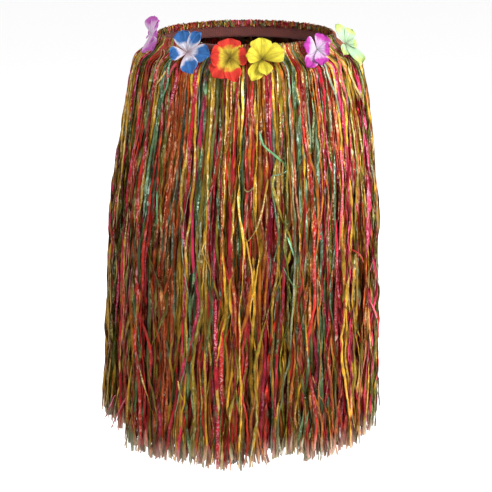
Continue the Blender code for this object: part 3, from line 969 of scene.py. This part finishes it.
def build_band():
    """Build the elastic waistband with its fine ribs."""
    angles = angle_of(np.arange(BAND_FACETS) / BAND_FACETS)
    ribs = BAND_RIB * np.sin(np.arange(BAND_FACETS) * 2 * math.pi / 3)
    rows = []
    for level in np.linspace(-1, 1, BAND_LEVELS):
        out = -BAND_WALL / 2 + ribs - BAND_ROUNDING * abs(level) ** 4
        rows.append(band_points(angles, out, level * (BAND_HEIGHT / 2 - BAND_CLEARANCE)))
    band = grid_object("waistband_elastic", np.array(rows), True, band_material())
    wall = band.modifiers.new("wall", "SOLIDIFY")
    wall.thickness = BAND_WALL * BAND_WALL_SHARE
    wall.offset = 0
    return band


def petal_material(flower):
    """Printed crinkled cloth that runs from the throat's colour to the rim's, with painted shade towards the
    throat and painted light and shade on its crinkles.
    """
    material, tree, shader = new_material("petal_" + flower.name)
    link = tree.links.new
    parts = strip_marks(tree)
    place = add_node(tree, "ShaderNodeTexCoord")
    blot = add_node(tree, "ShaderNodeTexNoise", Scale=130.0, Detail=3.0)
    link(place.outputs["Object"], blot.inputs["Vector"])
    off_middle = calculate(tree, "MULTIPLY_ADD", parts.outputs["Blue"], 2.0, -1.0)
    side = calculate(tree, "POWER", calculate(tree, "ABSOLUTE", off_middle), 4.0)
    inner = calculate(tree, "MULTIPLY_ADD", side, -flower.sides, parts.outputs["Red"])
    reach = calculate(tree, "MULTIPLY_ADD", blot.outputs["Fac"], 0.50, inner)
    ramp = add_node(tree, "ShaderNodeValToRGB")
    ramp.color_ramp.elements[0].position = 0.29
    ramp.color_ramp.elements[0].color = (*linear(flower.throat), 1)
    ramp.color_ramp.elements[1].position = min(flower.rim_start + 0.39, 1.0)
    ramp.color_ramp.elements[1].color = (*linear(flower.rim), 1)
    middle = ramp.color_ramp.elements.new(flower.rim_start + 0.19)
    middle.color = (*linear(flower.middle), 1)
    link(reach, ramp.inputs["Fac"])
    # Painted shade towards the throat and each petal's brightness, from the petal's tint
    painted_shade = add_node(tree, "ShaderNodeAttribute", attribute_name="tint")
    shaded = add_node(tree, "ShaderNodeVectorMath", operation="MULTIPLY")
    link(ramp.outputs["Color"], shaded.inputs[0])
    link(painted_shade.outputs["Color"], shaded.inputs[1])
    # Crinkles set a bump and painted light and shade
    crinkles = noise_on_strip(tree, parts, spread=50.0, along=2.4, across=8.0, detail=4.0)
    light = mapped(tree, crinkles, 0.3, 0.7, 0.66, 1.18)
    link(scaled_colour(tree, shaded.outputs["Vector"], light), shader.inputs["Base Color"])
    shader.inputs["Roughness"].default_value = 0.75
    shader.inputs["Specular IOR Level"].default_value = 0.25
    bump = add_node(tree, "ShaderNodeBump", Strength=0.8, Distance=0.0020)
    link(crinkles, bump.inputs["Height"])
    link(bump.outputs["Normal"], shader.inputs["Normal"])
    return material


def flower_axes(flower):
    """Axes of a flower: across, up along its face, and out of its face."""
    face, tilt = math.radians(flower.face), math.radians(flower.tilt)
    level = np.array([math.sin(face), -math.cos(face), 0])
    out = level * math.cos(tilt) + np.array([0, 0, math.sin(tilt)])
    across = np.array([-level[1], level[0], 0])
    return across, np.cross(out, across), out


def petal_grid(chance, petal, centre, axes, order):
    """Grid of points for one ruffled petal."""
    rows = np.linspace(PETAL_START, 1, PETAL_ROWS)
    along, side = np.meshgrid(rows, np.linspace(-1, 1, PETAL_POINTS), indexing="ij")
    spin = math.radians(petal.spin)
    reach = along * petal.length * (1 - PETAL_SIDE_FALL * side ** 2 * along ** 3)
    opening = along * max(PETAL_OPENING * petal.length, petal.breadth / PETAL_STEEPEST)
    past = np.clip((along - PETAL_ROUND_START) / PETAL_ROUND_REACH, 0, 1)
    rounding = petal.breadth * np.sqrt(1 - past ** 2)
    power = -PETAL_SQUARENESS
    sideways = side * (opening ** power + rounding ** power) ** (1 / power)
    phase = chance.uniform(0, 2 * math.pi)
    ruffle = PETAL_RUFFLE * petal.length * along ** 3 * (0.5 + side ** 2)
    crease = PETAL_CREASE * np.exp(-(side / PETAL_CREASE_WIDTH) ** 2)
    veins = PETAL_VEIN * np.sin(PETAL_VEIN_WAVES * side + phase)
    lift = petal.lift * (1 - (1 - along) ** 2) - PETAL_TIP_CURL * along ** 5
    lift = lift + PETAL_CUP * side ** 2 * along ** 2
    lift = lift + ruffle * np.sin(PETAL_RUFFLE_WAVES * side + phase)
    lift = lift - crease * smoothstep(0.05, 0.5, along) * (1.1 - along)
    lift = lift + veins * smoothstep(0.2, 0.9, along)
    lift = lift + PETAL_OVERLAP * order + PETAL_BACK
    across, up, out = axes
    local_x = np.sin(spin) * reach + np.cos(spin) * sideways
    local_y = np.cos(spin) * reach - np.sin(spin) * sideways
    return centre + local_x[..., None] * across + local_y[..., None] * up + lift[..., None] * out


def build_flower(flower, seed):
    """Build one cloth flower: five ruffled petals that meet in a deep throat."""
    chance = np.random.default_rng(seed)
    axes = flower_axes(flower)
    centre = band_points(math.radians(flower.angle), flower.out, flower.height)
    mesh = StrandMesh()
    rows = [petal for petal in PETALS if petal.flower == flower.name]
    for order, petal in enumerate(rows):
        grid = petal_grid(chance, petal, centre, axes, order)
        # Painted shade: each petal darkens towards the throat
        shades = 1 - THROAT_SHADE * (1 - smoothstep(0.0, THROAT_REACH, np.linspace(0, 1, len(grid))))
        shades = shades * chance.uniform(*PETAL_LIGHTS)
        mesh.add(grid, {"tint": np.repeat(shades[:, None], 3, axis=1)}, chance.random(), 0)
    piece = mesh.build("flower_cloth_" + flower.name, [petal_material(flower)])
    wall = piece.modifiers.new("wall", "SOLIDIFY")
    wall.thickness = PETAL_CLOTH
    wall.offset = 0
    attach(piece, "root")
    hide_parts("flower_" + flower.name)


def aim(item, place, target):
    """Put a lamp or camera at a place and turn it to a target."""
    item.location = place
    item.rotation_euler = (Vector(target) - Vector(place)).to_track_quat("-Z", "Y").to_euler()


def build_room():
    """Build the pale floor, the soft lights and the sky."""
    floor_material, tree, shader = new_material("pale_floor")
    shader.inputs["Base Color"].default_value = FLOOR_COLOUR
    shader.inputs["Roughness"].default_value = 0.9
    bpy.ops.mesh.primitive_plane_add(size=FLOOR_SIZE, location=(0, 0, FLOOR_HEIGHT))
    floor = bpy.context.object
    floor.name = "floor"
    floor.data.materials.append(floor_material)
    world = bpy.data.worlds.new("studio")
    world.use_nodes = True
    world.node_tree.nodes["Background"].inputs["Color"].default_value = SKY_COLOUR
    world.node_tree.nodes["Background"].inputs["Strength"].default_value = 1.0
    bpy.context.scene.world = world
    for row in LAMPS:
        lamp = bpy.data.lights.new(row.name, "AREA")
        lamp.shape = "SQUARE"
        lamp.size = row.size
        lamp.energy = row.power
        item = bpy.data.objects.new(row.name, lamp)
        aim(item, row.place, LAMP_TARGET)
        bpy.context.collection.objects.link(item)


def build_camera():
    """Place the camera at the photograph's angle."""
    camera = bpy.data.cameras.new("camera")
    camera.sensor_width = CAMERA_SENSOR
    camera.lens = CAMERA_LENS
    camera.clip_end = CAMERA_REACH
    item = bpy.data.objects.new("camera", camera)
    aim(item, CAMERA_PLACE, CAMERA_TARGET)
    bpy.context.collection.objects.link(item)
    bpy.context.scene.camera = item


def main():
    """Dress the skirt and set up the studio."""
    build_camera()
    build_room()
    bpy.context.scene.view_settings.view_transform = "Standard"
    materials = [film_material("film", False), film_material("tinsel", True)]
    strands = build_strands(materials)
    band = build_band()
    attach(band, "root")
    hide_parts("waistband")
    for number, flower in enumerate(FLOWERS):
        build_flower(flower, RANDOM_SEED + 100 + number)


main()
